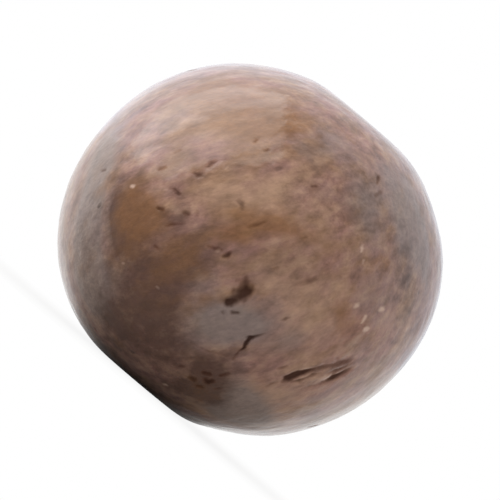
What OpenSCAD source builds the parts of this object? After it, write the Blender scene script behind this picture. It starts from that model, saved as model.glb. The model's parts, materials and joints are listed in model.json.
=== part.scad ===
// Turned wooden bead with a hole through it for a cord.
// It stands on the flat face round one end of the hole, with the hole upright.

/* [Bead] */
// Diameter across the widest part, halfway up
bead_d = 20; // [18.5:0.5:24]
// Length along the hole, from one end face to the other
bead_len = 18; // [15.5:0.5:22]
// Diameter of the flat face round each end of the hole
face_d = 4; // [3.4:0.1:6]
// Radius of the shoulder that runs from each end face into the side
shoulder_r = 7.5; // [4:0.25:7.75]

/* [Hole] */
// Diameter of the hole
hole_d = 2.5; // [1:0.1:3]
// Radius that rounds each mouth of the hole
mouth_r = 0.25; // [0.1:0.05:0.4]

/* [Drying check] */
// Length of the check's long leg
check_len = 1.5; // [0.8:0.1:2.5]
// Length of the check's short leg
check_tip_len = 0.9; // [0.5:0.1:2]
// Width of the check at the surface
check_w = 0.2; // [0.1:0.05:0.4]
// Depth of the check
check_depth = 0.45; // [0.2:0.05:0.8]
// Angle of the bend between the two legs
check_bend = 38; // [0:1:80]
// Turn of the bend round the hole, from the front
check_turn = 18; // [-180:1:180]
// Latitude of the bend, from the widest part
check_lat = -20; // [-40:1:40]

/* [Pit] */
// Length of the pit
pit_len = 1.7; // [0.8:0.1:2.5]
// Width of the pit
pit_w = 0.75; // [0.2:0.05:0.8]
// Depth of the pit
pit_depth = 0.4; // [0.2:0.05:0.8]
// Lean of the pit from the line of the hole
pit_lean = 9; // [-90:1:90]
// Turn of the pit round the hole, from the front
pit_turn = 6; // [-180:1:180]
// Latitude of the pit, from the widest part
pit_lat = -12; // [-40:1:40]

/* [Torn grain] */
// Length of the two long tears
tear_len = 2.8; // [1.2:0.1:3.2]
// Length of the short tear, which carries on from the end of the upper one
tear_tip_len = 1.5; // [0.8:0.1:2.5]
// Width of each tear at the surface
tear_w = 0.35; // [0.15:0.05:0.5]
// Depth of each tear
tear_depth = 0.3; // [0.25:0.05:0.6]
// Lean of the wood's fibres, and so of the tears, from the line of the hole
tear_lean = 32; // [-60:1:60]
// Angle at which the long tears part below the point where they meet
tear_splay = 16; // [8:1:40]
// Turn of that point round the hole, from the front
tear_turn = 52; // [-180:1:180]
// Latitude of that point, from the widest part
tear_lat = -5; // [-30:1:40]

/* [Hidden] */
$fn = 128;

wood = "#8a6b55";
half_len = bead_len / 2;
face_r = face_d / 2;
hole_r = hole_d / 2;

// The side of the section is an arc that meets the shoulder's arc without a corner.
// Its radius, and the distance of its centre from the axis, follow from the sizes.
side_in = bead_d / 2 - face_r;
shoulder = min(shoulder_r, side_in - 0.1, half_len - 0.1);
side_r = (side_in ^ 2 + (half_len - shoulder) ^ 2 - shoulder ^ 2) / (2 * (side_in - shoulder));
side_x = bead_d / 2 - side_r;
side_at = [side_x, 0];
shoulder_at = [face_r, half_len - shoulder];

// A point outside the wood, on the line through both centres where the arcs meet
beyond = side_at + (shoulder_at - side_at) * 2 * side_r / norm(shoulder_at - side_at);

// The same point in the lower half of the section
function below(p) = [p[0], -p[1]];

// The side of the section, between the two shoulders
module side_section() {
    intersection() {
        translate(side_at) circle(side_r);
        polygon([shoulder_at, beyond, [2 * bead_d, 0], below(beyond), below(shoulder_at)]);
    }
}

// The upper shoulder of the section
module shoulder_section() {
    intersection() {
        translate(shoulder_at) circle(shoulder);
        polygon([shoulder_at, beyond, [beyond[0], 2 * bead_len], [face_r, 2 * bead_len]]);
    }
}

// What the rounding takes off the corner at the upper mouth of the hole
module mouth_corner() {
    difference() {
        translate([0, half_len - mouth_r]) square([hole_r + mouth_r, 2 * mouth_r]);
        translate([hole_r + mouth_r, half_len - mouth_r]) circle(mouth_r);
    }
}

// Right side of the bead's section, level with the middle of the bead
module section() {
    difference() {
        union() {
            translate([hole_r, -half_len]) square([face_r - hole_r, bead_len]);
            side_section();
            shoulder_section();
            mirror([0, 1]) shoulder_section();
        }
        mouth_corner();
        mirror([0, 1]) mouth_corner();
    }
}

// Stands its children on the side of the bead: +Z points out of the wood, and +X up
// along the hole, or leaning from it to the right
module on_side(turn, lat, lean) {
    translate([0, 0, half_len])
        rotate([0, 0, turn - 90])
            translate([side_x, 0, 0])
                rotate([0, 90 - lat, 0])
                    translate([0, 0, side_r])
                        rotate([0, 0, 180 - lean])
                            children();
}

// Moves its children over the side of the bead, by a distance along their own +X
module slide(distance) {
    translate([0, 0, -side_r])
        rotate([0, distance / side_r * 180 / PI, 0])
            translate([0, 0, side_r])
                children();
}

// A hollow with pointed ends, of the form that two spheres share. It opens on the side
// of the bead at its full length and width, with its length along X.
module hollow(length, width, depth) {
    drop = side_r - sqrt(side_r ^ 2 - length ^ 2 / 4);
    arc_r = (length ^ 2 / 4 + (depth - drop) ^ 2) / (2 * (depth - drop));
    apart = (2 * arc_r * depth - depth ^ 2) / width - width / 4;
    translate([0, 0, arc_r - depth])
        intersection() {
            translate([0, apart, 0]) sphere(norm([arc_r, apart]));
            translate([0, -apart, 0]) sphere(norm([arc_r, apart]));
        }
}

// Drying check: a long leg up to the bend, and a short one on from it
module drying_check() {
    overlap = check_w;
    on_side(check_turn, check_lat, 0)
        slide(overlap - check_len / 2)
            hollow(check_len, check_w, check_depth);
    on_side(check_turn, check_lat, check_bend)
        slide(check_tip_len / 2 - overlap)
            hollow(check_tip_len, check_w, check_depth);
}

// Pit where a small knot has come out
module pit() {
    on_side(pit_turn, pit_lat, pit_lean)
        hollow(pit_len, pit_w, pit_depth);
}

// Torn grain: two long tears that part from one point, with a ridge of wood between
// them, and a short tear that carries on from the upper one
module torn_grain() {
    on_side(tear_turn, tear_lat, tear_lean)
        slide(-tear_len / 2)
            hollow(tear_len, tear_w, tear_depth);
    on_side(tear_turn, tear_lat, tear_lean + tear_splay) {
        slide(-tear_len / 2)
            hollow(tear_len, tear_w, tear_depth);
        slide(-tear_len)
            rotate([0, 0, tear_splay])
                slide(-tear_tip_len / 2)
                    hollow(tear_tip_len, tear_w, tear_depth);
    }
}

module bead() {
    color(wood)
        difference() {
            translate([0, 0, half_len]) rotate_extrude() section();
            drying_check();
            pit();
            torn_grain();
        }
}

bead();
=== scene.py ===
"""Turned wooden bead with a waxed finish, and the stage it stands on."""

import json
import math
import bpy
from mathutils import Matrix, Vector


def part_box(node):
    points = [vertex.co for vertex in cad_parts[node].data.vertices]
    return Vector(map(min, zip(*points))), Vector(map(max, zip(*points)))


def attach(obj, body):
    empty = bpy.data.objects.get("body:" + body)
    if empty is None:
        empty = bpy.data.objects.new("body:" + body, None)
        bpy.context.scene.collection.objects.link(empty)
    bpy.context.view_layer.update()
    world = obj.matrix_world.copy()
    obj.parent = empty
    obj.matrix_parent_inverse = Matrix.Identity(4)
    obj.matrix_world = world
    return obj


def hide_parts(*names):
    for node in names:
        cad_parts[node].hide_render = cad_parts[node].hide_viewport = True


bl_info = {
    "name": "Wooden bead",
    "version": (1, 0, 0),
    "blender": (4, 5, 0),
    "location": "View3D > Sidebar > Bead",
    "description": "A turned and waxed wooden bead with the natural marks of its wood",
    "category": "Object",
}

import bpy
import numpy as np
from mathutils import Matrix, Vector

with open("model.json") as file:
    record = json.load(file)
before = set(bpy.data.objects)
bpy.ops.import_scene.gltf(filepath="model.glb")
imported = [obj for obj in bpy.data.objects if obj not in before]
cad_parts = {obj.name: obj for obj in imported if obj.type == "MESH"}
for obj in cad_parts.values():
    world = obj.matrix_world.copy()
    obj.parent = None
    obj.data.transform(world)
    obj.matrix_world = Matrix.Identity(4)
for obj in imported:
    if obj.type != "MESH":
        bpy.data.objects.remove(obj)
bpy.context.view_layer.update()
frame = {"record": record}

MM = 0.001
LOW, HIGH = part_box("bead")
MOUNTS = {mount["name"]: mount for mount in frame["record"]["mounts"]}
MIDDLE = Vector((0, 0, (LOW[2] + HIGH[2]) / 2))

# The view is from the front of the bead, with the camera turned about its line of sight so that
# the hole leans to the right in it. These are the directions to the view's right, to its top
# and to the eye.
HOLE_LEAN = math.radians(40)
TO_RIGHT = Vector((math.cos(HOLE_LEAN), 0, math.sin(HOLE_LEAN)))
TO_TOP = Vector((-math.sin(HOLE_LEAN), 0, math.cos(HOLE_LEAN)))
TO_EYE = Vector((0, -1, 0))


# ---------------------------------------------------------------- settings


class BeadForm(bpy.types.PropertyGroup):
    """Sizes of the turned form, the same as the solid's."""

    diameter: bpy.props.FloatProperty(
        name="Diameter", description="Across the widest part",
        default=2 * max(HIGH[0], -LOW[0]), unit="LENGTH", precision=5)
    length: bpy.props.FloatProperty(
        name="Length", description="Along the hole, from end face to end face",
        default=HIGH[2] - LOW[2], unit="LENGTH", precision=5)
    face_diameter: bpy.props.FloatProperty(
        name="End face", description="Diameter of the flat face round each end of the hole",
        default=4 * MM, unit="LENGTH", precision=5)
    shoulder: bpy.props.FloatProperty(
        name="Shoulder", description="Radius between each end face and the side",
        default=7.5 * MM, unit="LENGTH", precision=5)
    hole_diameter: bpy.props.FloatProperty(
        name="Hole", description="Diameter of the hole",
        default=2 * MOUNTS["hole"]["dims"]["r_mm"] * MM, unit="LENGTH", precision=5)
    mouth: bpy.props.FloatProperty(
        name="Mouth", description="Rounding at each mouth of the hole",
        default=0.25 * MM, unit="LENGTH", precision=5)
    unevenness: bpy.props.FloatProperty(
        name="Unevenness", description="How far hand sanding left the form out of true",
        default=0.05 * MM, unit="LENGTH", precision=5)


class BeadWood(bpy.types.PropertyGroup):
    """Colours and finish of the wood. Some colours also paint light and shade where their patches lie.
    """

    heart: bpy.props.StringProperty(
        name="Heart", description="Main colour of the wood, as sRGB hex", default="#906e59")
    # Also the colour of painted light along the left rim and low at the front.
    pale_and_lit: bpy.props.StringProperty(
        name="Pale fibres", description="Colour of the palest fibres, as sRGB hex", default="#b69378")
    deep: bpy.props.StringProperty(
        name="Deep fibres", description="Colour of the darkest fibres, as sRGB hex", default="#67483b")
    rose: bpy.props.StringProperty(
        name="Rose", description="Colour of the rosy mottles, as sRGB hex", default="#997166")
    amber: bpy.props.StringProperty(
        name="Amber", description="Colour of the warm patches, as sRGB hex", default="#845831")
    # Partly the wood's own grey, partly painted sheen along the rims and low at the front.
    ash_and_sheen: bpy.props.StringProperty(
        name="Ash", description="Colour of the grey patches, as sRGB hex", default="#877a75")
    # Also the colour of the painted shade on the front below the middle, left of the torn grain.
    stain_and_shade: bpy.props.StringProperty(
        name="Stain", description="Colour where the stain sank in most, as sRGB hex", default="#503122")
    # Also the colour of the painted shade in the marks, which deepens with their depth.
    pore: bpy.props.StringProperty(
        name="Pores", description="Colour inside pores, pits and tears, as sRGB hex", default="#361e16")
    chip: bpy.props.StringProperty(
        name="Chips", description="Colour of bare wood in small chips, as sRGB hex", default="#c8a895")
    gloss: bpy.props.FloatProperty(
        name="Wax roughness", description="Roughness of the wax film",
        default=0.18, min=0, max=1, subtype="FACTOR")


class BeadStage(bpy.types.PropertyGroup):
    """Floor, light and camera."""

    floor: bpy.props.StringProperty(
        name="Floor", description="Colour of the floor, as sRGB hex", default="#aeaba8")
    backdrop: bpy.props.StringProperty(
        name="Backdrop", description="Colour of the paper behind, as the wax shows it, as sRGB hex",
        default="#f1f6ff")
    key: bpy.props.FloatProperty(
        name="Top light", description="Brightness of the wide light above, 1 for white",
        default=2.15, min=0)
    fill: bpy.props.FloatProperty(
        name="Fill", description="Brightness of the light from all round, 1 for white",
        default=0.7, min=0)
    slope: bpy.props.FloatProperty(
        name="Fill slope", description="How much brighter the fill is from the right, and dimmer "
        "from the left", default=0.34, min=0)
    room: bpy.props.FloatProperty(
        name="Room", description="Brightness of the room in front, as the wax shows it",
        default=0.2, min=0)
    distance: bpy.props.FloatProperty(
        name="Camera distance", description="From the middle of the bead to the camera",
        default=450 * MM, unit="LENGTH")
    view_width: bpy.props.FloatProperty(
        name="View width", description="Width that the view takes in at the bead",
        default=26 * MM, unit="LENGTH", precision=5)


# ---------------------------------------------------------------- small helpers

# Fine steps in which a weight is added up
FINE_STEPS = 4000


def linear(hex_colour):
    """The linear RGBA of an sRGB hex colour, by the sRGB curve: a straight line in the darkest
    tones, and above them a power of 2.4."""
    parts = [int(hex_colour[i:i + 2], 16) / 255 for i in (1, 3, 5)]
    return [p / 12.92 if p <= 0.04045 else ((p + 0.055) / 1.055) ** 2.4 for p in parts] + [1.0]


def add_node(tree, kind, settings=None, **inputs):
    """Adds a node of a kind to a tree. Settings name its properties. An input goes by its name,
    with _ for a space, or by its number after a _. It takes a plain value, or a link from an
    output socket or from a node's first output."""
    node = tree.nodes.new(kind)
    for name, value in (settings or {}).items():
        setattr(node, name, value)
    for name, value in inputs.items():
        socket = node.inputs[int(name[1:]) if name[0] == "_" else name.replace("_", " ")]
        if isinstance(value, bpy.types.Node):
            value = value.outputs[0]
        if isinstance(value, bpy.types.NodeSocket):
            tree.links.new(value, socket)
        else:
            socket.default_value = value
    return node


def new_material(name):
    """An empty node material and its tree."""
    material = bpy.data.materials.new(name)
    material.use_nodes = True
    material.node_tree.nodes.clear()
    return material, material.node_tree


def new_mesh(name, grid):
    """A closed mesh from a grid of points (rows, columns, 3) that joins up both ways, with
    each cell a four-sided face."""
    rows, columns = grid.shape[:2]
    row, column = np.meshgrid(np.arange(rows), np.arange(columns), indexing="ij")
    next_row, next_column = (row + 1) % rows, (column + 1) % columns
    corners = [(row, column), (row, next_column), (next_row, next_column), (next_row, column)]
    faces = np.stack([r * columns + c for r, c in corners], axis=-1).reshape(-1, 4)
    mesh = bpy.data.meshes.new(name)
    mesh.vertices.add(rows * columns)
    mesh.vertices.foreach_set("co", grid.reshape(-1).astype(np.float32))
    mesh.loops.add(faces.size)
    mesh.loops.foreach_set("vertex_index", faces.reshape(-1).astype(np.int32))
    mesh.polygons.add(len(faces))
    mesh.polygons.foreach_set("loop_start", (np.arange(len(faces)) * 4).astype(np.int32))
    mesh.update(calc_edges=True)
    mesh.shade_smooth()
    thing = bpy.data.objects.new(name, mesh)
    bpy.context.scene.collection.objects.link(thing)
    return thing


def weighted_steps(start, end, count, base, bumps):
    """Values from start up to end, the end left out, spaced so that every step holds the same
    share of a weight, which is added up in fine steps. The weight is a base and, round the
    middle of each bump, more: steps are short there."""
    fine = np.linspace(start, end, FINE_STEPS + 1)
    between = (fine[1:] + fine[:-1]) / 2
    weight = base + sum(more * smooth_bump(between, middle, reach) for more, middle, reach in bumps)
    total = np.concatenate([[0], np.cumsum(weight)])
    return np.interp(np.arange(count) / count * total[-1], total, fine)


def smooth_step(share):
    """0 up to a share of 0 and 1 from a share of 1, with an even curve between: three times
    the square less twice the cube."""
    share = np.clip(share, 0, 1)
    return share ** 2 * (3 - 2 * share)


def smooth_bump(value, middle, reach):
    """1 at the middle, falling to 0 a reach away on both sides along a cosine."""
    near = np.clip(np.abs(value - middle) / reach, 0, 1)
    return 0.5 + 0.5 * np.cos(math.pi * near)


# ---------------------------------------------------------------- the bead

# The wood's fibres: upwards they lean from the line of the hole to the bead's right and, a
# little, towards the eye.
FIBRE_LEAN = math.radians(31)
FIBRE_FORWARD = 0.12
FIBRE = Vector((math.sin(FIBRE_LEAN), -FIBRE_FORWARD, math.cos(FIBRE_LEAN))).normalized()

# Rows of the surface round the bore, mouths, faces and side, and columns round the hole
BORE_ROWS, MOUTH_ROWS, FACE_ROWS, SIDE_ROWS = 10, 4, 3, 232
COLUMNS = 378
# How closely they lie, as a base and bumps of weight: extra weight, middle and reach. Rows go
# from -1 at the lower face to 1 at the upper, columns by the turn in radians. They are closest
# round the marks at the front.
ROW_WEIGHT = 1.0, ((1.3, -0.26, 0.42),)
COLUMN_WEIGHT = 0.5, ((1.0, 0.1, 1.8), (0.7, 0.5, 0.8))

# Waves in the surface: how many, their shortest and longest in mm, how far their directions
# stray along the fibres, and the seed that they are drawn from
LONG_WAVES = 9, 9, 26, 0.8, 4
EDGE_WAVES = 30, 0.3, 1.0, 0.6, 13
# The grain's own waves, with their height in mm before the rest
GRAIN_WAVES = (
    (0.007, 48, 0.8, 2.4, 0.45, 11),
    (0.003, 60, 0.35, 0.9, 0.45, 12),
)
# As shares of the unevenness: the height of the long waves, and how far below the true form
# they swing
WAVE_SHARE, SUNK_SHARE = 0.45, 0.6
# How far the edge waves bend the outline of a mark, as a share of its width
CROOKEDNESS = 0.22
# Angle over which the unevenness and the marks fade out towards each end face, in radians
FACE_FADE = 0.35
# A mark ends at this share of its width from its line. Most of its depth is well inside that.
MARK_REACH = 0.62
# Large marks and small ones: share of their depth that wax and dust leave open, depth from
# # which they are as dark as they get, and how dark that is. That dark grows with depth: partly
# # the dark of the open wood, partly painted shade in the mark.
LARGE_MARK = 0.45, 0.20 * MM, 1.0
SMALL_MARK = 0.3, 0.13 * MM, 0.85
# Depth from which a chip shows nothing but bare wood
CHIP_DEPTH = 0.02 * MM
# A mark or patch reaches no point that lies deeper under it than this share of the diameter,
# so that none shows through on another side of the bead.
THROUGH = 0.25

# Marks in the side of the bead: a drying check, the pit of a small knot, torn grain, and small
# marks that the wax half fills. Each is a path: at every point the turn round the hole and the
# latitude, in degrees, and the width and depth there, in mm.
CHECK = (
    ((20.4, -16.0, 0.12, 0.06), (18.9, -18.6, 0.20, 0.14), (18.1, -20.3, 0.30, 0.24),
     (18.3, -22.0, 0.30, 0.26), (19.2, -24.0, 0.24, 0.20), (18.7, -25.8, 0.20, 0.10),
     (19.6, -28.8, 0.22, 0.09)),
    ((5.0, -33.9, 0.16, 0.05), (10.8, -32.6, 0.20, 0.06), (18.0, -29.0, 0.16, 0.05)),
)
PIT = (
    ((4.4, -7.0, 0.50, 0.09), (6.4, -9.4, 1.05, 0.17), (6.6, -12.6, 1.05, 0.16),
     (4.8, -15.9, 0.76, 0.13)),
    ((5.6, -8.2, 0.50, 0.12), (7.0, -10.2, 0.72, 0.25), (7.0, -12.6, 0.56, 0.18)),
    ((6.4, -14.2, 0.60, 0.17), (5.0, -16.0, 0.60, 0.22)),
    ((8.3, -17.6, 0.34, 0.13), (9.6, -16.6, 0.32, 0.13)),
    ((5.8, -19.5, 0.24, 0.09), (6.3, -19.8, 0.24, 0.09)),
)
TORN_GRAIN = (
    ((38.2, -24.2, 0.32, 0.10), (37.8, -22.3, 0.58, 0.22), (38.8, -20.4, 0.60, 0.25),
     (39.6, -18.6, 0.46, 0.21), (40.8, -16.6, 0.48, 0.17), (42.0, -14.6, 0.36, 0.12)),
    ((41.8, -14.6, 0.40, 0.09), (43.6, -12.6, 0.56, 0.11), (45.6, -10.6, 0.50, 0.08),
     (48.0, -7.8, 0.64, 0.10), (50.5, -5.0, 0.50, 0.05)),
    ((40.4, -22.4, 0.26, 0.08), (41.8, -20.4, 0.38, 0.14), (42.6, -18.4, 0.26, 0.08),
     (43.2, -16.4, 0.36, 0.11), (44.9, -14.4, 0.30, 0.05)),
    ((46.2, -20.8, 0.44, 0.04), (48.6, -17.4, 0.44, 0.07), (49.6, -15.6, 0.40, 0.12),
     (50.4, -13.2, 0.56, 0.22), (51.2, -11.2, 0.40, 0.17), (52.2, -9.2, 0.50, 0.13),
     (53.0, -7.2, 0.44, 0.06)),
    ((47.0, -13.4, 0.36, 0.05), (48.4, -11.2, 0.44, 0.10), (50.2, -8.6, 0.40, 0.08),
     (51.0, -6.2, 0.36, 0.05)),
    ((36.1, -28.9, 0.26, 0.06), (36.2, -27.3, 0.30, 0.09), (36.8, -25.4, 0.24, 0.06)),
    ((32.8, -21.8, 0.28, 0.08), (33.5, -20.7, 0.30, 0.09), (34.0, -19.7, 0.26, 0.07)),
)
SMALL_MARKS = (
    ((-29.0, 6.6, 0.26, 0.07), (-27.3, 7.2, 0.35, 0.10), (-25.7, 8.1, 0.23, 0.06)),
    ((-26.5, 10.9, 0.29, 0.08), (-26.6, 12.4, 0.35, 0.09), (-25.8, 13.7, 0.20, 0.05)),
    ((-31.2, -1.4, 0.20, 0.05), (-29.9, -0.6, 0.29, 0.08), (-27.8, -0.7, 0.38, 0.11)),
    ((-38.5, 7.9, 0.20, 0.04), (-37.8, 9.3, 0.23, 0.05)),
    ((-38.6, 1.1, 0.32, 0.06), (-37.4, 2.6, 0.35, 0.06)),
    ((-59.6, -10.2, 0.26, 0.06), (-58.4, -9.5, 0.26, 0.06)),
    ((-22.0, 25.9, 0.29, 0.06), (-22.3, 27.4, 0.26, 0.06)),
    ((-17.1, 26.3, 0.23, 0.06), (-16.8, 26.9, 0.23, 0.06)),
    ((-12.1, 8.7, 0.29, 0.07), (-10.9, 8.9, 0.41, 0.10), (-9.4, 7.7, 0.26, 0.07)),
    ((-22.4, -3.8, 0.35, 0.08), (-21.0, -3.6, 0.35, 0.08)),
    ((-19.7, -1.0, 0.26, 0.06), (-18.4, -2.1, 0.23, 0.05)),
    ((-30.2, -7.9, 0.32, 0.09), (-28.5, -7.3, 0.32, 0.08)),
    ((-5.1, 4.6, 0.23, 0.05), (-3.4, 6.7, 0.41, 0.09), (-1.9, 9.3, 0.29, 0.06)),
    ((-10.3, -7.0, 0.26, 0.06), (-8.1, -6.1, 0.32, 0.07), (-6.5, -5.4, 0.26, 0.06)),
    ((-4.6, -6.3, 0.35, 0.12), (-4.0, -5.2, 0.46, 0.15), (-4.0, -4.3, 0.32, 0.09)),
    ((-24.9, -10.8, 0.23, 0.05), (-23.4, -9.1, 0.32, 0.07), (-20.2, -6.4, 0.20, 0.04)),
    ((-23.9, -17.2, 0.32, 0.06), (-22.4, -17.2, 0.32, 0.06)),
    ((17.8, 1.4, 0.44, 0.04), (19.4, 4.1, 0.62, 0.08), (20.9, 6.4, 0.44, 0.05)),
    ((21.0, -10.1, 0.17, 0.04), (21.7, -8.8, 0.29, 0.08), (22.4, -7.7, 0.20, 0.05)),
    ((25.0, -5.3, 0.20, 0.03), (26.1, -2.7, 0.20, 0.03)),
    ((8.6, 0.0, 0.26, 0.05), (9.5, 1.2, 0.29, 0.06)),
    ((10.4, -4.8, 0.20, 0.03), (11.2, -3.4, 0.20, 0.03)),
    ((15.0, -44.4, 0.44, 0.08), (16.8, -44.2, 0.50, 0.09)),
    ((16.8, -39.4, 0.38, 0.08), (18.3, -38.5, 0.44, 0.08)),
    ((19.6, -41.0, 0.40, 0.09), (21.0, -41.4, 0.50, 0.11), (21.8, -39.6, 0.40, 0.09)),
    ((21.6, -36.2, 0.34, 0.06), (23.0, -33.5, 0.34, 0.06)),
    ((20.1, -45.4, 0.40, 0.06), (21.5, -44.7, 0.44, 0.07)),
    ((25.4, -41.4, 0.36, 0.05), (26.2, -40.2, 0.36, 0.05)),
    ((9.2, -43.4, 0.34, 0.05), (9.9, -42.4, 0.34, 0.05)),
    ((22.7, 43.0, 0.23, 0.06), (22.3, 45.7, 0.32, 0.08)),
    ((23.6, 38.6, 0.32, 0.06), (25.5, 41.3, 0.35, 0.07)),
    ((23.2, 25.1, 0.32, 0.05), (26.1, 28.0, 0.32, 0.05)),
    ((2.2, 26.9, 0.26, 0.09), (3.1, 27.8, 0.26, 0.09)),
    ((10.0, 12.9, 0.23, 0.06), (10.8, 13.7, 0.23, 0.06)),
    ((-122.0, 8.0, 0.30, 0.07), (-118.5, 11.5, 0.44, 0.12), (-116.0, 14.0, 0.30, 0.07)),
    ((152.0, -14.0, 0.30, 0.08), (154.5, -10.5, 0.42, 0.12), (156.0, -8.0, 0.30, 0.07)),
    ((96.0, 17.0, 0.30, 0.07), (98.0, 19.6, 0.38, 0.10)),
    ((-160.0, -22.0, 0.28, 0.07), (-158.2, -19.6, 0.32, 0.09)),
    ((118.0, -26.0, 0.28, 0.07), (119.6, -23.4, 0.32, 0.09)),
    ((-96.0, -8.0, 0.30, 0.07), (-94.8, -6.4, 0.30, 0.07)),
    ((-82.0, 31.0, 0.28, 0.07), (-80.6, 32.4, 0.28, 0.07)),
    ((137.0, 30.0, 0.28, 0.08), (139.0, 32.6, 0.34, 0.09), (139.6, 35.0, 0.26, 0.06)),
    ((171.0, 7.0, 0.30, 0.07), (172.0, 9.2, 0.30, 0.07)),
    ((78.0, -31.0, 0.28, 0.07), (79.6, -28.8, 0.30, 0.08)),
    ((-132.0, -37.0, 0.30, 0.07), (-130.0, -35.0, 0.34, 0.08)),
    ((104.0, 45.0, 0.28, 0.06), (106.0, 47.0, 0.28, 0.06)),
    ((-142.0, 40.0, 0.30, 0.07), (-139.0, 42.6, 0.32, 0.08)),
)
# Raised lips beside the tears, in the same way, with a height in place of the depth
LIPS = (
    ((35.3, -23.1, 0.50, 0.02), (35.9, -19.6, 0.60, 0.04), (38.2, -15.9, 0.56, 0.04),
     (41.4, -12.6, 0.50, 0.02)),
    ((44.2, -17.6, 0.50, 0.02), (46.3, -15.1, 0.60, 0.04), (47.6, -12.9, 0.56, 0.03)),
)
# Small chips in the wax, which show bare pale wood
CHIPS = (
    ((42.7, 6.9, 0.26, 0.02), (43.1, 4.9, 0.20, 0.02)),
    ((27.6, 22.3, 0.22, 0.02), (28.2, 21.4, 0.20, 0.02)),
    ((30.6, 19.3, 0.20, 0.01), (30.9, 18.9, 0.20, 0.01)),
    ((37.2, 7.4, 0.34, 0.02), (37.6, 7.8, 0.34, 0.02)),
    ((46.6, 11.5, 0.36, 0.02), (47.4, 11.9, 0.36, 0.02)),
    ((45.8, 3.9, 0.36, 0.02), (46.4, 4.4, 0.36, 0.02)),
    ((80.5, 11.8, 0.36, 0.03), (81.5, 12.4, 0.36, 0.03)),
    ((-33.8, 47.5, 0.18, 0.01), (-33.2, 47.9, 0.18, 0.01)),
    ((-42.9, -7.9, 0.32, 0.02), (-42.5, -7.7, 0.32, 0.02)),
    ((11.4, -56.1, 0.26, 0.02), (12.0, -55.8, 0.26, 0.02)),
    ((-15.9, -26.7, 0.24, 0.006), (-15.2, -26.7, 0.24, 0.006)),
    ((-31.2, -28.0, 0.22, 0.006), (-30.6, -27.8, 0.22, 0.006)),
    ((-7.2, -6.6, 0.26, 0.005), (-6.9, -6.0, 0.26, 0.005)),
)
# Places where hand sanding took the side down or left it full: turn and latitude of the
# middle and reach, in degrees, and height, in mm
SANDED = (
    (-90, 55, 44, -0.24),
    (90, -44, 40, -0.22),
    (90, 22, 34, 0.16),
    (-90, -25, 34, 0.08),
    (90, 57, 22, -0.08),
    (90, -66, 24, -0.14),
)
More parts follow.
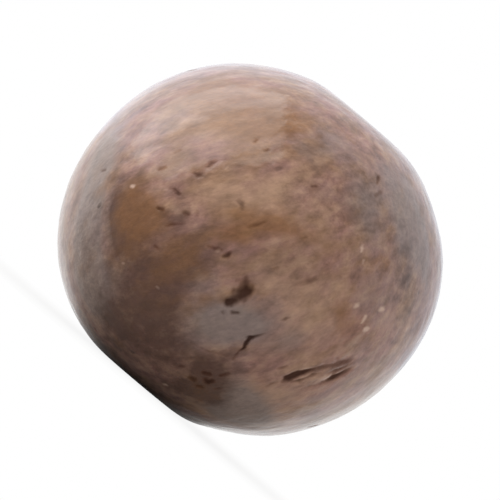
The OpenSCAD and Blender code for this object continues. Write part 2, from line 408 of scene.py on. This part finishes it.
# Patches of colour, by the colour that they bring out: dark stain, amber, grey ash, pale fibres
# and rose. Most are where the stain took unevenly; some dark, grey and pale ones are painted
# shade, sheen and light, as said at each colour. Each is the turn and latitude of its middle and
# its lean, in degrees; its length and width, in mm; and its strength. A strength below 0 holds
# back that colour.
STAINS = {
    # Dark stain. The patches on the front below the middle, left of the torn grain, are partly painted
    # shade: the darkness of a shaded lower side.
    "stain_and_shade": (
        (-35, -16, -40, 4.0, 2.8, 1.0), (-13, -26, -40, 3.6, 2.4, 0.7), (-22, -9, -40, 2.6, 2.4, 0.5),
        (17, -36, 10, 3.2, 1.9, 1.0), (51, -8, 40, 2.0, 1.0, 0.4), (-18, -31, -40, 4.8, 3.7, 0.9),
        (-24, -47, -40, 4.4, 3.8, 1.0), (1, -42, -10, 3.7, 2.5, 0.8), (22, -42, 10, 3.2, 2.0, 0.9),
        (-12, -10, 40, 2.6, 1.7, 0.5), (-31, 35, 50, 3.4, 2.3, 0.3), (53, 23, -40, 4.0, 1.6, 0.3),
        (18, 33, -40, 4.4, 3.6, 0.35), (-9, -16, 50, 2.6, 2.2, 0.65), (-38, -24, -40, 3.0, 1.6, 0.4),
        (-52, -30, -40, 5.0, 2.0, 0.5), (56, 20, -40, 8.0, 2.0, 0.4), (-43, -13, -40, 2.6, 2.4, 0.5),
        (4, 26, 50, 2.8, 2.0, 0.35), (44, -15, 40, 4.6, 1.7, 0.35), (-42, -18, -40, 2.6, 0.9, 0.9),
        (-30, -9, 70, 1.5, 0.5, 0.8), (-22, -4, -10, 1.2, 0.6, 0.5), (-14, -6, 60, 1.4, 0.8, 0.5),
        (25, -49, 30, 4.0, 2.2, 0.9), (-52, 19, 50, 3.8, 2.0, 0.3), (-150, 24, 30, 5.6, 3.4, 1.0),
        (112, -32, 40, 6.0, 3.4, 1.0), (-100, -34, 20, 6.4, 3.4, 0.9), (168, 2, 40, 3.6, 2.0, 0.5),
    ),
    "amber": (
        (-36, -14, -40, 2.8, 2.4, 1.3), (-36, 30, 50, 7.5, 5.0, 0.8), (-20, -25, -40, 3.0, 2.6, 0.3),
        (-1, 10, 65, 4.8, 1.1, 0.8), (-7, 0, 50, 2.6, 1.4, 0.8), (-14, -13, 50, 2.6, 2.0, 0.5),
        (-26, 36, 50, 3.1, 2.3, 0.5), (25, -41, 50, 2.3, 1.4, 0.2), (36, 1, -40, 2.5, 1.4, 0.6),
        (14, -5, 50, 2.0, 1.4, 0.3), (22, 12, -40, 2.0, 1.4, 0.4), (66, -5, 100, 2.5, 1.4, 0.4),
        (-37, 44, 50, 3.6, 2.2, 0.35), (-30, -11, -40, 2.2, 2.2, 0.5), (-46, 31, 50, 6.0, 2.6, 0.45),
        (160, 16, 30, 5.4, 3.4, 1.0), (-95, -18, 40, 5.0, 3.0, 0.9), (92, -12, 30, 4.4, 2.6, 0.8),
        (-128, 4, 60, 3.4, 1.6, 0.6),
    ),
    # Grey: partly the wood's own grey. Along the left and right rims and low at the front, towards the
    # foot, it is painted sheen: the white reflected in the wax.
    "ash_and_sheen": (
        (5, -24, 50, 4.0, 3.0, 0.9), (14, -18, 50, 3.6, 2.8, 0.8), (30, 34, -40, 6.5, 5.0, 0.4),
        (40, 12, -40, 5.0, 3.0, 0.4), (42, -41, 50, 2.8, 2.0, 1.0), (20, 35, -40, 2.8, 2.3, 0.7),
        (-52, -30, -40, 6.0, 2.2, 1.2), (-46, -41, -40, 4.0, 2.4, 1.6), (-58, -14, -40, 6.0, 2.4, 0.8),
        (42, 36, -40, 6.0, 1.8, 0.8), (-30, -33, -40, 2.2, 2.0, 0.5), (-6, -16, 50, 2.4, 1.8, 0.6),
        (43, -45, 50, 3.0, 2.0, 0.8), (33, -36, 50, 3.0, 2.4, 1.0), (-4, 43, 50, 4.0, 2.4, 0.6),
        (29, -11, 50, 2.3, 1.7, 0.4), (-63, -8, -40, 4.4, 2.4, 0.9), (48, 46, -40, 5.0, 2.4, 0.8),
        (58, 34, -40, 5.0, 2.0, 0.8), (-42, -20, -40, 2.6, 1.0, 0.6), (48, -44, 50, 4.6, 2.0, 0.8),
        (-49, -36, -40, 4.0, 2.2, 0.7), (-138, -12, 30, 6.4, 3.6, 1.2), (122, 16, 20, 5.4, 3.4, 1.0),
        (-86, 34, 30, 4.0, 2.4, 0.8),
    ),
    # Pale: pale fibres, and painted light along the left rim and low at the front, towards the foot,
    # where the floor holds light off.
    "pale_and_lit": (
        (-47, -40, -40, 4.0, 2.0, 1.2), (34, -40, 50, 3.4, 2.8, 1.0), (-4, 14, 50, 4.0, 2.6, 0.6),
        (-18, 8, 60, 3.4, 2.2, 0.8), (13, -3, 50, 2.6, 2.0, 0.6), (-6, 21, 50, 2.5, 1.7, 0.6),
        (28, -2, 50, 4.0, 3.6, 0.9), (45, -16, 35, 3.0, 1.4, 0.7), (40, -43, 50, 4.0, 2.8, 1.3),
        (44, -27, 70, 3.4, 1.6, 0.7), (-34, 24, 50, 3.4, 2.4, 0.7), (-8, 7, 50, 2.6, 1.2, 0.6),
        (15, 17, -40, 2.4, 1.8, 0.4), (-63, -10, -40, 3.4, 2.4, 0.6), (60, 14, -40, 4.0, 1.6, 0.8),
        (-26, -5, 85, 1.5, 0.5, 0.9), (-34, -4, 60, 1.6, 0.6, 0.6), (37.4, -17.4, 31, 2.6, 0.5, 1.1),
        (47, -46, 50, 4.6, 1.6, 1.4), (-50, -37, -40, 3.6, 1.6, 0.6), (180, -22, 30, 5.4, 3.6, 1.0),
        (-108, 20, 30, 5.0, 3.2, 0.9), (140, -12, 50, 3.6, 2.2, 0.7),
    ),
    "rose": (
        (24, -12, 50, 4.0, 3.0, 0.8), (38, -28, 50, 5.0, 3.0, 1.0), (40, 0, 50, 4.0, 3.0, 0.6),
        (-8, 4, 50, 4.0, 2.4, 0.4), (-36, 30, 50, 7.0, 5.0, -0.8), (-140, 30, 50, 6.0, 4.0, 0.6),
        (130, -8, 50, 6.0, 4.0, 0.6), (44, -15, 40, 4.6, 2.4, 0.6),
    ),
}


def side_arc(form):
    """Radius of the side's arc and the distance of its centre from the axis, in metres: the
    arc that touches the shoulder's arc and reaches the full diameter halfway up. The radius is
    the square of the face's inset, plus that of the height of the shoulder's centre, less that
    of the shoulder's radius, over twice the difference of the inset and that radius."""
    half = form.length / 2
    inset = (form.diameter - form.face_diameter) / 2
    squares = inset ** 2 + (half - form.shoulder) ** 2 - form.shoulder ** 2
    radius = squares / (2 * (inset - form.shoulder))
    return radius, form.diameter / 2 - radius


def section(form):
    """Closed outline of the bead's section, as distances from the axis, heights above the
    middle, and the outward direction at each point. It runs up the outside and down the bore:
    the side's arc, the shoulder's arc, the flat face, the rounded mouth, the straight wall,
    and the same again at the lower end."""
    half, face, hole = form.length / 2, form.face_diameter / 2, form.hole_diameter / 2
    radius, centre = side_arc(form)
    join = math.atan2(half - form.shoulder, face - centre)
    side_share = radius * join / (radius * join + form.shoulder * (math.pi / 2 - join))

    reach = weighted_steps(-1, 1, SIDE_ROWS, *ROW_WEIGHT)
    on_side = np.abs(reach) <= side_share
    past = (np.abs(reach) - side_share) / (1 - side_share)
    angle = np.where(on_side, reach / side_share * join,
                     np.sign(reach) * (join + past * (math.pi / 2 - join)))
    outside_r = np.where(on_side, centre + radius * np.cos(angle),
                         face + form.shoulder * np.cos(angle))
    outside_z = np.where(on_side, radius * np.sin(angle),
                         np.sign(reach) * (half - form.shoulder) + form.shoulder * np.sin(angle))

    face_r = np.linspace(face, hole + form.mouth, FACE_ROWS, endpoint=False)
    turn = np.linspace(math.pi / 2, math.pi, MOUTH_ROWS, endpoint=False)
    mouth_r = hole + form.mouth + form.mouth * np.cos(turn)
    mouth_z = half - form.mouth + form.mouth * np.sin(turn)
    bore_z = np.linspace(half - form.mouth, form.mouth - half, BORE_ROWS)

    r = np.concatenate([outside_r, face_r, mouth_r, np.full(BORE_ROWS, hole),
                        mouth_r[:0:-1], [hole + form.mouth], face_r[:0:-1]])
    z = np.concatenate([outside_z, np.full(FACE_ROWS, half), mouth_z, bore_z,
                        -mouth_z[:0:-1], [-half], np.full(FACE_ROWS - 1, -half)])
    out_angle = np.concatenate([angle, np.full(FACE_ROWS, math.pi / 2), turn,
                                np.full(BORE_ROWS, math.pi), -turn[:0:-1],
                                [-math.pi / 2], np.full(FACE_ROWS - 1, -math.pi / 2)])
    return r, z, out_angle


def place_on_side(form, turn, latitude):
    """The point of the side at a turn round the hole and a latitude, in degrees, and the
    direction out of the wood there. The point is the arc's centre, carried round the hole, and
    from there the arc's radius along that direction."""
    radius, centre = side_arc(form)
    around, up = math.radians(turn) - math.pi / 2, math.radians(latitude)
    out = Vector((math.cos(around) * math.cos(up), math.sin(around) * math.cos(up), math.sin(up)))
    return MIDDLE + Vector((math.cos(around), math.sin(around), 0)) * centre + out * radius, out


def furrow(form, points, path, crooked):
    """How deep in a path's mark each point lies, in metres. Along every straight stretch of
    the path the width and depth change evenly. Across it the depth falls off as the square of
    one less the square of the distance, which counts as 1 where the mark ends, and a crooked
    edge stretches that distance."""
    deepest = np.zeros(points.shape[:-1])
    for start, end in zip(path, path[1:]):
        first, out = place_on_side(form, *start[:2])
        last, _ = place_on_side(form, *end[:2])
        stretch = np.array(last - first)
        offset = points - np.array(first)
        share = np.clip(offset @ stretch / (stretch @ stretch), 0, 1)
        offset = offset - share[..., None] * stretch
        offset = offset - (offset @ np.array(out))[..., None] * np.array(out)
        near = (points - np.array(first)) @ np.array(out) > -THROUGH * form.diameter
        width = start[2] + (end[2] - start[2]) * share
        depth = start[3] + (end[3] - start[3]) * share
        distance = np.linalg.norm(offset, axis=-1) * crooked / (width * MM * MARK_REACH)
        inside = np.clip(1 - distance ** 2, 0, 1) ** 2 * depth * MM
        deepest = np.maximum(deepest, np.where(near, inside, 0))
    return deepest


def patch(form, points, place):
    """Strength of a patch of colour at each point, whether stain or painted light and shade: it
    falls from the middle like a bell curve of the distance along and across, counted in half sizes."""
    turn, latitude, lean, length, width, strength = place
    middle, out = place_on_side(form, turn, latitude)
    around = math.radians(turn) - math.pi / 2
    right = Vector((-math.sin(around), math.cos(around), 0))
    tilt = math.radians(lean)
    along = out.cross(right) * math.cos(tilt) + right * math.sin(tilt)
    offset = points - np.array(middle)
    u = offset @ np.array(along) / (length * MM / 2)
    v = offset @ np.array(out.cross(along)) / (width * MM / 2)
    near = offset @ np.array(out) > -THROUGH * form.diameter
    return np.where(near, strength * np.exp(-u ** 2 - v ** 2), 0)


def waves(points, count, shortest, longest, along_fibre, seed):
    """Plane waves added up, over the square root of their count: between -1 and 1 or so. Their
    directions lie across the fibres, with a small part along them, and their lengths are spread
    between two limits, in mm."""
    rng = np.random.default_rng(seed)
    side = FIBRE.orthogonal().normalized()
    other = FIBRE.cross(side)
    total = np.zeros(points.shape[:-1])
    for _ in range(count):
        turn, phase = rng.uniform(0, 2 * math.pi, 2)
        length = math.exp(rng.uniform(math.log(shortest), math.log(longest)))
        direction = side * math.cos(turn) + other * math.sin(turn)
        direction = direction + FIBRE * rng.normal(0, along_fibre)
        total += np.sin(points @ np.array(direction) * (2 * math.pi / (length * MM)) + phase)
    return total / math.sqrt(count)


def bead_surface(form):
    """Points of the finished bead, rows by columns, and what its wood is like at each point.
    The section is turned round the hole. On the outside each point then moves along the
    outward direction: by long waves and the sanded places for unevenness, by short waves along
    the fibres for the grain, up onto the lips and down into the marks."""
    r, z, out_angle = section(form)
    around = weighted_steps(-math.pi, math.pi, COLUMNS, *COLUMN_WEIGHT) - math.pi / 2
    cos, sin = np.cos(around)[None, :], np.sin(around)[None, :]
    shape = (len(r), COLUMNS)
    points = np.stack([r[:, None] * cos, r[:, None] * sin,
                       np.broadcast_to(z[:, None] + MIDDLE.z, shape)], axis=-1)
    flat = np.cos(out_angle)[:, None]
    out = np.stack([flat * cos, flat * sin,
                    np.broadcast_to(np.sin(out_angle)[:, None], shape)], axis=-1)

    outside = np.zeros(len(r))
    outside[:SIDE_ROWS] = 1 - smooth_bump(np.abs(out_angle[:SIDE_ROWS]), math.pi / 2, FACE_FADE)
    lift = form.unevenness * (waves(points, *LONG_WAVES) * WAVE_SHARE - SUNK_SHARE)
    for turn, latitude, reach, height in SANDED:
        _, direction = place_on_side(form, turn, latitude)
        apart = np.arccos(np.clip(out @ np.array(direction), -1, 1))
        lift += height * MM * smooth_bump(apart, 0, math.radians(reach))
    for height, *kind in GRAIN_WAVES:
        lift += height * MM * waves(points, *kind)

    crooked = 1 + CROOKEDNESS * waves(points, *EDGE_WAVES)
    large, small, raised, chips = (
        np.max([furrow(form, points, path, crooked) for path in paths], axis=0)
        for paths in (CHECK + PIT + TORN_GRAIN, SMALL_MARKS, LIPS, CHIPS))
    # How dark each mark shows, growing with its depth: partly the dark of open wood, partly painted
    # shade.
    dark = np.zeros(shape)
    moved = lift + raised
    for depth, (open_share, dark_depth, darkness) in ((large, LARGE_MARK), (small, SMALL_MARK)):
        moved -= open_share * depth
        dark = np.maximum(dark, darkness * smooth_step(depth / dark_depth))

    looks = {"mark_dark_and_shade": dark, "chip": chips / CHIP_DEPTH}
    # Patches of colour: stain, and in places painted light and shade.
    for colour, places in STAINS.items():
        looks[colour] = sum(patch(form, points, place) for place in places)
    return points + out * (moved * outside[:, None])[..., None], looks


# Layers of the wood's figure, each a noise: length along the fibres and width across them, in
# mm, how many finer layers are in it, and how strong each of those is next to the last. Single
# fibres, 0.02 mm wide, are too fine to show: the flecks are as narrow as shows, and stand for
# bundles of them.
FIGURE = {
    "mottles": (1.3, 0.75, 4.0, 0.6),
    "dashes": (0.7, 0.28, 2.0, 0.5),
    "flecks": (0.26, 0.14, 1.0, 0.5),
    "clouds": (3.8, 2.8, 3.0, 0.55),
    "warmth": (2.4, 1.3, 3.0, 0.55),
}
# Level of a noise near the least and the most that it reaches
NOISE_LOW, NOISE_HIGH = 0.3, 0.7
# Vessels: one for each of these cells, in mm along and across the fibres, open from the first
# share of a cell from its middle and wholly so from the second. That draws them 0.25 mm wide
# and 0.6 mm long. Real ones are under 0.1 mm wide, too fine to show.
VESSEL_CELL = 3.0, 1.3
VESSEL_EDGE = 0.13, 0.06
# They show dark where the clouds rise from the first level to the second: elsewhere the wax
# has filled them.
OPEN_CLOUDS = 0.45, 0.60
# Coats of colour: the colour; the layers that bring it out, each with its weight; the weighted
# sum at which it starts and at which it is full; and the most of what is under it that it
# covers. The stain comes first, and what shows through the wax last.
STAIN_COATS = (
    ("rose", {"rose": 0.2, "warmth": 1.0}, 0.38, 0.62, 1.0),
    ("deep", {"mottles": 1.0}, 0.50, 0.28, 0.50),
    ("pale_and_lit", {"mottles": 1.0}, 0.50, 0.76, 0.60),
    # This pale coat, the grey coat and the dark-stain coat also carry painted light, sheen and shade
    # where their patches lie.
    ("pale_and_lit", {"pale_and_lit": 1.0, "mottles": 0.8}, 0.40, 1.30, 0.60),
    ("ash_and_sheen", {"ash_and_sheen": 1.0, "clouds": 1.2, "warmth": 0.9}, 1.25, 2.05, 0.75),
    ("stain_and_shade", {"stain_and_shade": 1.0, "mottles": -1.2}, -0.45, 0.45, 0.82),
    ("amber", {"amber": 1.0, "clouds": -1.2, "warmth": -1.2}, -1.10, -0.45, 0.70),
)
OPEN_COATS = (
    ("pore", {"open_vessels": 1.0}, 0.0, 1.0, 0.80),
    # The dark of the marks, partly painted shade.
    ("pore", {"mark_dark_and_shade": 1.0}, 0.03, 0.95, 0.88),
    ("chip", {"chip": 1.0}, 0.05, 0.80, 0.90),
)
# How much darker and lighter each layer makes the grain
SHADES = {"mottles": 0.05, "dashes": 0.09, "flecks": 0.05}
# Weight of each layer in the grain's relief
RELIEF = {"mottles": 1.0, "dashes": 0.5, "flecks": 0.2, "vessels": -0.5}
# Height of that relief in the wood and in the wax film over it, and how strongly it shows
WOOD_RELIEF, FILM_RELIEF = 0.10 * MM, 0.009 * MM
RELIEF_STRENGTH = 0.5
# Roughness of the wood in the deep mottles and in the pale
WOOD_ROUGHNESS = 0.55, 0.42
# Depth of shade in a cavity from which there is no wax
BARE_CAVITY = 0.35
# Wax and wood fibre have the same index, so that wood under wax hardly shines of its own.
WAX_IOR, WOOD_SPECULAR = 1.5, 0.1


def lay_coats(tree, tone, coats, layers, wood):
    """Lays coats of colour over a tone, one after another. A coat covers nothing up to where
    it starts and the most it can from where it is full, and changes evenly between. A Mix
    node's inputs 6 and 7 and its output 2 are its sockets for colours."""
    for colour, weights, start, full, most in coats:
        level = 0.0
        for name, weight in weights.items():
            level = add_node(tree, "ShaderNodeMath", {"operation": "MULTIPLY_ADD"},
                             _0=layers[name], _1=weight, _2=level)
        share = add_node(tree, "ShaderNodeMapRange", Value=level, From_Min=start, From_Max=full,
                         To_Max=most)
        tone = add_node(tree, "ShaderNodeMix", {"data_type": "RGBA"}, _0=share, _6=tone,
                        _7=linear(getattr(wood, colour))).outputs[2]
    return tone


def waxed_hardwood(wood):
    """Fine-grained brown hardwood, turned, stained and waxed. Straight fibres run at a slant to
    the hole, with short dark vessels between them; the wax gives broad soft reflections and
    fills the grain, and the stain has taken unevenly, in amber and grey patches. Some patches
    are painted light and shade: dark ones on the lower front are partly painted shade, and grey
    and pale ones at the rims and low at the front are painted sheen and light. The dark in the
    marks is partly painted shade."""
    material, tree = new_material("waxed_hardwood")
    place = add_node(tree, "ShaderNodeTexCoord").outputs["Object"]
    turn = FIBRE.rotation_difference(Vector((1, 0, 0))).to_euler()
    wood_mm = add_node(tree, "ShaderNodeMapping", Vector=place, Rotation=turn, Scale=(1 / MM,) * 3)

    layers = {}
    for name, (along, across, detail, roughness) in FIGURE.items():
        stretched = add_node(tree, "ShaderNodeMapping", Vector=wood_mm,
                             Scale=(1 / along, 1 / across, 1 / across))
        layers[name] = add_node(tree, "ShaderNodeTexNoise", Vector=stretched, Scale=1.0,
                                Detail=detail, Roughness=roughness).outputs["Fac"]
    for name in ("mark_dark_and_shade", "chip", *STAINS):
        layers[name] = add_node(tree, "ShaderNodeAttribute", {"attribute_name": name}).outputs["Fac"]

    along, across = VESSEL_CELL
    stretched = add_node(tree, "ShaderNodeMapping", Vector=wood_mm,
                         Scale=(1 / along, 1 / across, 1 / across))
    cell = add_node(tree, "ShaderNodeTexVoronoi", Vector=stretched, Scale=1.0).outputs["Distance"]
    vessels, left_open = (
        add_node(tree, "ShaderNodeMapRange", Value=level, From_Min=start, From_Max=full)
        for level, (start, full) in ((cell, VESSEL_EDGE), (layers["clouds"], OPEN_CLOUDS)))
    layers["vessels"] = vessels
    layers["open_vessels"] = add_node(tree, "ShaderNodeMath", {"operation": "MULTIPLY"},
                                      _0=vessels, _1=left_open)

    tone = lay_coats(tree, linear(wood.heart), STAIN_COATS, layers, wood)
    for name, spread in SHADES.items():
        shade = add_node(tree, "ShaderNodeMapRange", Value=layers[name], From_Min=NOISE_LOW,
                         From_Max=NOISE_HIGH, To_Min=1 - spread, To_Max=1 + spread)
        tone = add_node(tree, "ShaderNodeVectorMath", {"operation": "SCALE"}, _0=tone, Scale=shade)
    tone = lay_coats(tree, tone, OPEN_COATS, layers, wood)

    relief = 0.0
    for name, weight in RELIEF.items():
        relief = add_node(tree, "ShaderNodeMath", {"operation": "MULTIPLY_ADD"},
                          _0=layers[name], _1=weight, _2=relief)
    bump, film = (
        add_node(tree, "ShaderNodeBump", Height=relief, Strength=RELIEF_STRENGTH, Distance=height)
        for height in (WOOD_RELIEF, FILM_RELIEF))

    rough = add_node(tree, "ShaderNodeMapRange", Value=layers["mottles"], From_Min=NOISE_LOW,
                     From_Max=NOISE_HIGH, To_Min=WOOD_ROUGHNESS[0], To_Max=WOOD_ROUGHNESS[1])
    rough = add_node(tree, "ShaderNodeMath", {"operation": "MAXIMUM"}, _0=rough,
                     _1=layers["mark_dark_and_shade"])
    wax = add_node(tree, "ShaderNodeMapRange", Value=layers["mark_dark_and_shade"], From_Min=0.0,
                   From_Max=BARE_CAVITY, To_Min=1.0, To_Max=0.0)
    shader = add_node(tree, "ShaderNodeBsdfPrincipled", Base_Color=tone, Roughness=rough,
                      IOR=WAX_IOR, Specular_IOR_Level=WOOD_SPECULAR, Normal=bump, Coat_Weight=wax,
                      Coat_Roughness=wood.gloss, Coat_IOR=WAX_IOR, Coat_Normal=film)
    add_node(tree, "ShaderNodeOutputMaterial", Surface=shader)
    return material


class BEAD_OT_bead(bpy.types.Operator):
    """Turns the wooden bead: an outline carried round the hole, then worn, torn and waxed"""

    bl_idname = "bead.bead"
    bl_label = "Wooden bead"

    def execute(self, context):
        scene = context.scene
        grid, looks = bead_surface(scene.bead_form)
        bead = new_mesh("turned_bead", grid)
        for name, values in looks.items():
            layer = bead.data.attributes.new(name, "FLOAT", "POINT")
            layer.data.foreach_set("value", values.reshape(-1).astype(np.float32))
        bead.data.materials.append(waxed_hardwood(scene.bead_wood))
        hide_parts("bead")
        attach(bead, "root")
        return {"FINISHED"}


# ---------------------------------------------------------------- the stage

WHITE = "#ffffff"
# Half the side of the square floor
FLOOR_REACH = 1.5
# How white the floor shows: for each kind of ray, the distances that the share of white goes
# by, away from the foot of the bead or behind it, each with its start and end in mm and the
# shares there. To the eye the floor is white but for a faint shadow near the foot. In the wax
# it is white behind the bead and clear of the foot.
WHITE_FLOOR = (
    ("Is Camera Ray", (("away", 6, 24, 0.90, 1.0),)),
    ("Is Glossy Ray", (("away", 2, 6, 0.0, 1.0), ("behind", -3, 3, 0.0, 1.0))),
)
# Brightness of that white, 1 for the backdrop's own, to the eye and to the wax
FLOOR_GLOW = 1.0, 1.1
# Brightness of the paper behind, as the wax shows it, at the view's left and at its right
PAPER_GLOW = 2.0, 0.6
# How far back a direction has to point for all of that paper to show, where 1 is straight back
PAPER_EDGE = 0.1
# The wide light's height above the bead, and its reach across the view and towards the eye
SOFTBOX = 300 * MM, (-570 * MM, 85 * MM), (-180 * MM, 220 * MM)
# Width of the camera's sensor, in mm, and the nearest that it sees
SENSOR = 36
NEAREST = 10 * MM


def add_panel_light(name, height, across, towards, radiance):
    """A flat light at a height above the bead in the view, facing down in it. It reaches
    between two distances across the view and two towards the eye, and its power is pi times
    its radiance and its area."""
    light = bpy.data.lights.new(name, "AREA")
    light.shape = "RECTANGLE"
    light.size, light.size_y = across[1] - across[0], towards[1] - towards[0]
    light.energy = radiance * math.pi * light.size * light.size_y
    thing = bpy.data.objects.new(name, light)
    place = MIDDLE + TO_TOP * height + TO_RIGHT * sum(across) / 2 + TO_EYE * sum(towards) / 2
    turned = Matrix((TO_RIGHT, -TO_EYE, TO_TOP)).transposed().to_4x4()
    thing.matrix_world = Matrix.Translation(place) @ turned
    bpy.context.scene.collection.objects.link(thing)


def floor_paper(colour):
    """Matt white paper, which keeps the bead's shadow. By its share of white it glows in place
    of being lit, so that no edge shows between it and the backdrop. That share is the product
    of its ramps, each even between two distances, and counts for one kind of ray."""
    material, tree = new_material("floor_paper")
    paper = add_node(tree, "ShaderNodeBsdfDiffuse", Color=linear(colour))
    place = add_node(tree, "ShaderNodeTexCoord").outputs["Object"]
    measures = {
        "away": add_node(tree, "ShaderNodeVectorMath", {"operation": "LENGTH"},
                         _0=place).outputs["Value"],
        "behind": add_node(tree, "ShaderNodeSeparateXYZ", Vector=place).outputs["Y"],
    }
    path = add_node(tree, "ShaderNodeLightPath")
    whiteness = 0.0
    for ray, ramps in WHITE_FLOOR:
        share = path.outputs[ray]
        for measure, start, end, first, last in ramps:
            ramp = add_node(tree, "ShaderNodeMapRange", Value=measures[measure],
                            From_Min=start * MM, From_Max=end * MM, To_Min=first, To_Max=last)
            share = add_node(tree, "ShaderNodeMath", {"operation": "MULTIPLY"}, _0=ramp, _1=share)
        whiteness = add_node(tree, "ShaderNodeMath", {"operation": "ADD"}, _0=share, _1=whiteness)
    glow = add_node(tree, "ShaderNodeMapRange", Value=path.outputs["Is Glossy Ray"],
                    To_Min=FLOOR_GLOW[0], To_Max=FLOOR_GLOW[1])
    white = add_node(tree, "ShaderNodeEmission", Color=linear(WHITE), Strength=glow)
    both = add_node(tree, "ShaderNodeMixShader", _0=whiteness, _1=paper, _2=white)
    add_node(tree, "ShaderNodeOutputMaterial", Surface=both)
    return material


def white_backdrop(stage):
    """The world: plain white where it is seen. Where it lights the bead it is grey, as bright
    as the fill and the slope times how far the direction points to the view's right. The wax
    shows it as pale paper behind the bead, brightest at the view's left, and in front as the
    dim room."""
    world = bpy.data.worlds.new("white_backdrop")
    world.use_nodes = True
    tree = world.node_tree
    tree.nodes.clear()
    path = add_node(tree, "ShaderNodeLightPath")
    direction = add_node(tree, "ShaderNodeTexCoord").outputs["Object"]
    back = add_node(tree, "ShaderNodeSeparateXYZ", Vector=direction).outputs["Y"]
    behind = add_node(tree, "ShaderNodeMapRange", Value=back, From_Min=0.0, From_Max=PAPER_EDGE)
    rightwards = add_node(tree, "ShaderNodeVectorMath", {"operation": "DOT_PRODUCT"},
                          _0=direction, _1=TO_RIGHT).outputs["Value"]
    fill, glow = (
        add_node(tree, "ShaderNodeMapRange", Value=rightwards, From_Min=-1.0, From_Max=1.0,
                 To_Min=left, To_Max=right)
        for left, right in ((stage.fill - stage.slope, stage.fill + stage.slope), PAPER_GLOW))
    grey, paper, white, room = (
        add_node(tree, "ShaderNodeBackground", Color=linear(colour), Strength=strength)
        for colour, strength in ((WHITE, fill), (stage.backdrop, glow), (WHITE, 1.0),
                                 (WHITE, stage.room)))
    waxed = add_node(tree, "ShaderNodeMixShader", _0=behind, _1=room, _2=paper)
    lit = add_node(tree, "ShaderNodeMixShader", _0=path.outputs["Is Glossy Ray"], _1=grey, _2=waxed)
    seen = add_node(tree, "ShaderNodeMixShader", _0=path.outputs["Is Camera Ray"], _1=lit, _2=white)
    add_node(tree, "ShaderNodeOutputWorld", Surface=seen)
    return world


class BEAD_OT_stage(bpy.types.Operator):
    """Lays the pale floor and sets the lights and the camera"""

    bl_idname = "bead.stage"
    bl_label = "Stage"

    def execute(self, context):
        scene = context.scene
        stage = scene.bead_stage

        mesh = bpy.data.meshes.new("floor")
        corners = ((-1, -1), (1, -1), (1, 1), (-1, 1))
        mesh.from_pydata([(x * FLOOR_REACH, y * FLOOR_REACH, 0) for x, y in corners],
                         [], [(0, 1, 2, 3)])
        floor = bpy.data.objects.new("floor", mesh)
        floor.data.materials.append(floor_paper(stage.floor))
        scene.collection.objects.link(floor)

        scene.world = white_backdrop(stage)
        add_panel_light("top_softbox", *SOFTBOX, stage.key)

        camera = bpy.data.cameras.new("camera")
        camera.sensor_width = SENSOR
        camera.lens = SENSOR * stage.distance / stage.view_width
        camera.clip_start = NEAREST
        eye = bpy.data.objects.new("camera", camera)
        turned = Matrix((TO_RIGHT, TO_TOP, TO_EYE)).transposed().to_4x4()
        eye.matrix_world = Matrix.Translation(MIDDLE + TO_EYE * stage.distance) @ turned
        scene.collection.objects.link(eye)
        scene.camera = eye
        scene.view_settings.view_transform = "Standard"
        return {"FINISHED"}


# ---------------------------------------------------------------- panel and script


class BEAD_PT_panel(bpy.types.Panel):
    """Lists the settings and the steps"""

    bl_idname = "BEAD_PT_panel"
    bl_label = "Wooden bead"
    bl_space_type = "VIEW_3D"
    bl_region_type = "UI"
    bl_category = "Bead"

    def draw(self, context):
        for group in GROUPS:
            box = self.layout.box()
            settings = getattr(context.scene, group)
            for name in settings.bl_rna.properties.keys():
                if name not in ("rna_type", "name"):
                    box.prop(settings, name)
        for operator in (BEAD_OT_bead, BEAD_OT_stage):
            self.layout.operator(operator.bl_idname)


CLASSES = (BeadForm, BeadWood, BeadStage, BEAD_OT_bead, BEAD_OT_stage, BEAD_PT_panel)
GROUPS = {"bead_form": BeadForm, "bead_wood": BeadWood, "bead_stage": BeadStage}


def register():
    """Registers the classes and gives the scene its settings."""
    for item in CLASSES:
        bpy.utils.register_class(item)
    for name, group in GROUPS.items():
        setattr(bpy.types.Scene, name, bpy.props.PointerProperty(type=group))


def unregister():
    """Takes the settings and the classes away again."""
    for name in GROUPS:
        delattr(bpy.types.Scene, name)
    for item in reversed(CLASSES):
        bpy.utils.unregister_class(item)


def main():
    """Makes the bead and its stage."""
    register()
    bpy.ops.bead.bead()
    bpy.ops.bead.stage()


if __name__ == "__main__":
    main()
